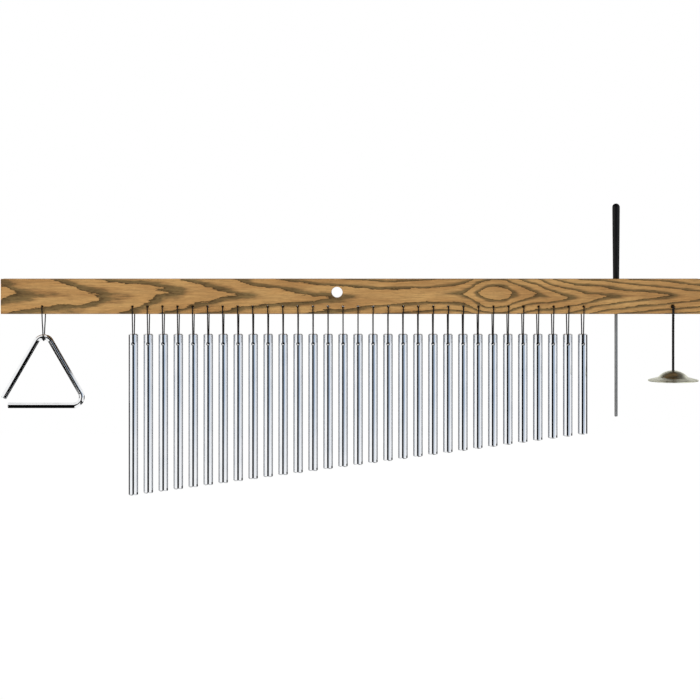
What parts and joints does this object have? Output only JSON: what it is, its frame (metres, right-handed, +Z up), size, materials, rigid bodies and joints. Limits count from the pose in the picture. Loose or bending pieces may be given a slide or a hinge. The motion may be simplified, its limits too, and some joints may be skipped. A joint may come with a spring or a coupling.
{
  "type": "bar chimes",
  "caption": "Wooden mantle with a graded row of polished metal bars on cord loops, and a hanging triangle, a finger cymbal and a lift-out beater.",
  "frame": {"origin": "middle of the stand bore, at mid depth of the mantle", "axes": "+X along the row towards the short bars, +Y away from the player along the stand bore, +Z up"},
  "size_m": [0.6996, 0.053, 0.292],
  "materials": {
    "mantle_wood": "oiled, satin",
    "bar_aluminium": "mirror polished",
    "cord_black": "braided nylon",
    "triangle_steel": "chrome plated",
    "cymbal_brass": "polished cast",
    "beater_steel": "satin",
    "grip_vinyl": "dipped vinyl"
  },
  "bodies": {
    "mantle": {"mantle": "mantle_wood", "inner_bar_cords": "cord_black"},
    "beater": {"beater_rod": "beater_steel", "beater_grip": "grip_vinyl"},
    "triangle_loop": {"triangle_cord": "cord_black"},
    "triangle": {"triangle": "triangle_steel"},
    "cymbal_strand": {"cymbal_cord": "cord_black"},
    "finger_cymbal": {"finger_cymbal": "cymbal_brass"},
    "chime_bar_01": {"chime_bar_01": "bar_aluminium", "first_bar_cord": "cord_black"},
    "chime_bar_02": {"chime_bar_02": "bar_aluminium"},
    "chime_bar_03": {"chime_bar_03": "bar_aluminium"},
    "chime_bar_04": {"chime_bar_04": "bar_aluminium"},
    "chime_bar_05": {"chime_bar_05": "bar_aluminium"},
    "chime_bar_06": {"chime_bar_06": "bar_aluminium"},
    "chime_bar_07": {"chime_bar_07": "bar_aluminium"},
    "chime_bar_08": {"chime_bar_08": "bar_aluminium"},
    "chime_bar_09": {"chime_bar_09": "bar_aluminium"},
    "chime_bar_10": {"chime_bar_10": "bar_aluminium"},
    "chime_bar_11": {"chime_bar_11": "bar_aluminium"},
    "chime_bar_12": {"chime_bar_12": "bar_aluminium"},
    "chime_bar_13": {"chime_bar_13": "bar_aluminium"},
    "chime_bar_14": {"chime_bar_14": "bar_aluminium"},
    "chime_bar_15": {"chime_bar_15": "bar_aluminium"},
    "chime_bar_16": {"chime_bar_16": "bar_aluminium"},
    "chime_bar_17": {"chime_bar_17": "bar_aluminium"},
    "chime_bar_18": {"chime_bar_18": "bar_aluminium"},
    "chime_bar_19": {"chime_bar_19": "bar_aluminium"},
    "chime_bar_20": {"chime_bar_20": "bar_aluminium"},
    "chime_bar_21": {"chime_bar_21": "bar_aluminium"},
    "chime_bar_22": {"chime_bar_22": "bar_aluminium"},
    "chime_bar_23": {"chime_bar_23": "bar_aluminium"},
    "chime_bar_24": {"chime_bar_24": "bar_aluminium"},
    "chime_bar_25": {"chime_bar_25": "bar_aluminium"},
    "chime_bar_26": {"chime_bar_26": "bar_aluminium"},
    "chime_bar_27": {"chime_bar_27": "bar_aluminium"},
    "chime_bar_28": {"chime_bar_28": "bar_aluminium"},
    "chime_bar_29": {"chime_bar_29": "bar_aluminium"},
    "chime_bar_30": {"chime_bar_30": "bar_aluminium"},
    "chime_bar_31": {"chime_bar_31": "bar_aluminium", "last_bar_cord": "cord_black"}
  },
  "joints": [
    {"name": "beater_lift", "type": "slide", "parent": "mantle", "child": "beater", "axis": [0, 0, 1], "range_m": [0, 0.145]},
    {"name": "triangle_swing", "type": "hinge", "parent": "mantle", "child": "triangle_loop", "pos_m": [-0.2939, 0, -0.0142], "axis": [0, -1, 0], "range_deg": [-20, 20]},
    {"name": "triangle_rock", "type": "hinge", "parent": "triangle_loop", "child": "triangle", "pos_m": [-0.2939, 0, -0.0533], "axis": [0, -1, 0], "range_deg": [-15, 15]},
    {"name": "cymbal_swing", "type": "hinge", "parent": "mantle", "child": "cymbal_strand", "pos_m": [0.3348, 0, -0.0142], "axis": [0, -1, 0], "range_deg": [-18, 40]},
    {"name": "cymbal_tilt", "type": "hinge", "parent": "cymbal_strand", "child": "finger_cymbal", "pos_m": [0.3348, -0.011, -0.08187], "axis": [1, 0, 0], "range_deg": [-10, 10]},
    {"name": "chime_bar_01_swing", "type": "hinge", "parent": "mantle", "child": "chime_bar_01", "pos_m": [-0.204, 0, -0.0142], "axis": [0, -1, 0], "range_deg": [-20, 1.57]},
    {"name": "chime_bar_02_swing", "type": "hinge", "parent": "mantle", "child": "chime_bar_02", "pos_m": [-0.189, 0, -0.0142], "axis": [0, -1, 0], "range_deg": [-1.57, 1.59], "deforming": ["inner_bar_cords"]},
    {"name": "chime_bar_03_swing", "type": "hinge", "parent": "mantle", "child": "chime_bar_03", "pos_m": [-0.174, 0, -0.0142], "axis": [0, -1, 0], "range_deg": [-1.59, 1.61], "deforming": ["inner_bar_cords"]},
    {"name": "chime_bar_04_swing", "type": "hinge", "parent": "mantle", "child": "chime_bar_04", "pos_m": [-0.159, 0, -0.0142], "axis": [0, -1, 0], "range_deg": [-1.61, 1.62], "deforming": ["inner_bar_cords"]},
    {"name": "chime_bar_05_swing", "type": "hinge", "parent": "mantle", "child": "chime_bar_05", "pos_m": [-0.144, 0, -0.0142], "axis": [0, -1, 0], "range_deg": [-1.62, 1.64], "deforming": ["inner_bar_cords"]},
    {"name": "chime_bar_06_swing", "type": "hinge", "parent": "mantle", "child": "chime_bar_06", "pos_m": [-0.129, 0, -0.0142], "axis": [0, -1, 0], "range_deg": [-1.64, 1.66], "deforming": ["inner_bar_cords"]},
    {"name": "chime_bar_07_swing", "type": "hinge", "parent": "mantle", "child": "chime_bar_07", "pos_m": [-0.114, 0, -0.0142], "axis": [0, -1, 0], "range_deg": [-1.66, 1.68], "deforming": ["inner_bar_cords"]},
    {"name": "chime_bar_08_swing", "type": "hinge", "parent": "mantle", "child": "chime_bar_08", "pos_m": [-0.099, 0, -0.0142], "axis": [0, -1, 0], "range_deg": [-1.68, 1.7], "deforming": ["inner_bar_cords"]},
    {"name": "chime_bar_09_swing", "type": "hinge", "parent": "mantle", "child": "chime_bar_09", "pos_m": [-0.084, 0, -0.0142], "axis": [0, -1, 0], "range_deg": [-1.7, 1.72], "deforming": ["inner_bar_cords"]},
    {"name": "chime_bar_10_swing", "type": "hinge", "parent": "mantle", "child": "chime_bar_10", "pos_m": [-0.069, 0, -0.0142], "axis": [0, -1, 0], "range_deg": [-1.72, 1.74], "deforming": ["inner_bar_cords"]},
    {"name": "chime_bar_11_swing", "type": "hinge", "parent": "mantle", "child": "chime_bar_11", "pos_m": [-0.054, 0, -0.0142], "axis": [0, -1, 0], "range_deg": [-1.74, 1.76], "deforming": ["inner_bar_cords"]},
    {"name": "chime_bar_12_swing", "type": "hinge", "parent": "mantle", "child": "chime_bar_12", "pos_m": [-0.039, 0, -0.0142], "axis": [0, -1, 0], "range_deg": [-1.76, 1.78], "deforming": ["inner_bar_cords"]},
    {"name": "chime_bar_13_swing", "type": "hinge", "parent": "mantle", "child": "chime_bar_13", "pos_m": [-0.024, 0, -0.0142], "axis": [0, -1, 0], "range_deg": [-1.78, 1.81], "deforming": ["inner_bar_cords"]},
    {"name": "chime_bar_14_swing", "type": "hinge", "parent": "mantle", "child": "chime_bar_14", "pos_m": [-0.009, 0, -0.0142], "axis": [0, -1, 0], "range_deg": [-1.81, 1.83], "deforming": ["inner_bar_cords"]},
    {"name": "chime_bar_15_swing", "type": "hinge", "parent": "mantle", "child": "chime_bar_15", "pos_m": [0.006, 0, -0.0142], "axis": [0, -1, 0], "range_deg": [-1.83, 1.85], "deforming": ["inner_bar_cords"]},
    {"name": "chime_bar_16_swing", "type": "hinge", "parent": "mantle", "child": "chime_bar_16", "pos_m": [0.021, 0, -0.0142], "axis": [0, -1, 0], "range_deg": [-1.85, 1.88], "deforming": ["inner_bar_cords"]},
    {"name": "chime_bar_17_swing", "type": "hinge", "parent": "mantle", "child": "chime_bar_17", "pos_m": [0.036, 0, -0.0142], "axis": [0, -1, 0], "range_deg": [-1.88, 1.9], "deforming": ["inner_bar_cords"]},
    {"name": "chime_bar_18_swing", "type": "hinge", "parent": "mantle", "child": "chime_bar_18", "pos_m": [0.051, 0, -0.0142], "axis": [0, -1, 0], "range_deg": [-1.9, 1.93], "deforming": ["inner_bar_cords"]},
    {"name": "chime_bar_19_swing", "type": "hinge", "parent": "mantle", "child": "chime_bar_19", "pos_m": [0.066, 0, -0.0142], "axis": [0, -1, 0], "range_deg": [-1.93, 1.95], "deforming": ["inner_bar_cords"]},
    {"name": "chime_bar_20_swing", "type": "hinge", "parent": "mantle", "child": "chime_bar_20", "pos_m": [0.081, 0, -0.0142], "axis": [0, -1, 0], "range_deg": [-1.95, 1.98], "deforming": ["inner_bar_cords"]},
    {"name": "chime_bar_21_swing", "type": "hinge", "parent": "mantle", "child": "chime_bar_21", "pos_m": [0.096, 0, -0.0142], "axis": [0, -1, 0], "range_deg": [-1.98, 2.01], "deforming": ["inner_bar_cords"]},
    {"name": "chime_bar_22_swing", "type": "hinge", "parent": "mantle", "child": "chime_bar_22", "pos_m": [0.111, 0, -0.0142], "axis": [0, -1, 0], "range_deg": [-2.01, 2.03], "deforming": ["inner_bar_cords"]},
    {"name": "chime_bar_23_swing", "type": "hinge", "parent": "mantle", "child": "chime_bar_23", "pos_m": [0.126, 0, -0.0142], "axis": [0, -1, 0], "range_deg": [-2.03, 2.06], "deforming": ["inner_bar_cords"]},
    {"name": "chime_bar_24_swing", "type": "hinge", "parent": "mantle", "child": "chime_bar_24", "pos_m": [0.141, 0, -0.0142], "axis": [0, -1, 0], "range_deg": [-2.06, 2.09], "deforming": ["inner_bar_cords"]},
    {"name": "chime_bar_25_swing", "type": "hinge", "parent": "mantle", "child": "chime_bar_25", "pos_m": [0.156, 0, -0.0142], "axis": [0, -1, 0], "range_deg": [-2.09, 2.12], "deforming": ["inner_bar_cords"]},
    {"name": "chime_bar_26_swing", "type": "hinge", "parent": "mantle", "child": "chime_bar_26", "pos_m": [0.171, 0, -0.0142], "axis": [0, -1, 0], "range_deg": [-2.12, 2.16], "deforming": ["inner_bar_cords"]},
    {"name": "chime_bar_27_swing", "type": "hinge", "parent": "mantle", "child": "chime_bar_27", "pos_m": [0.186, 0, -0.0142], "axis": [0, -1, 0], "range_deg": [-2.16, 2.19], "deforming": ["inner_bar_cords"]},
    {"name": "chime_bar_28_swing", "type": "hinge", "parent": "mantle", "child": "chime_bar_28", "pos_m": [0.201, 0, -0.0142], "axis": [0, -1, 0], "range_deg": [-2.19, 2.22], "deforming": ["inner_bar_cords"]},
    {"name": "chime_bar_29_swing", "type": "hinge", "parent": "mantle", "child": "chime_bar_29", "pos_m": [0.216, 0, -0.0142], "axis": [0, -1, 0], "range_deg": [-2.22, 2.26], "deforming": ["inner_bar_cords"]},
    {"name": "chime_bar_30_swing", "type": "hinge", "parent": "mantle", "child": "chime_bar_30", "pos_m": [0.231, 0, -0.0142], "axis": [0, -1, 0], "range_deg": [-2.26, 2.29], "deforming": ["inner_bar_cords"]},
    {"name": "chime_bar_31_swing", "type": "hinge", "parent": "mantle", "child": "chime_bar_31", "pos_m": [0.246, 0, -0.0142], "axis": [0, -1, 0], "range_deg": [-2.29, 12]}
  ]
}
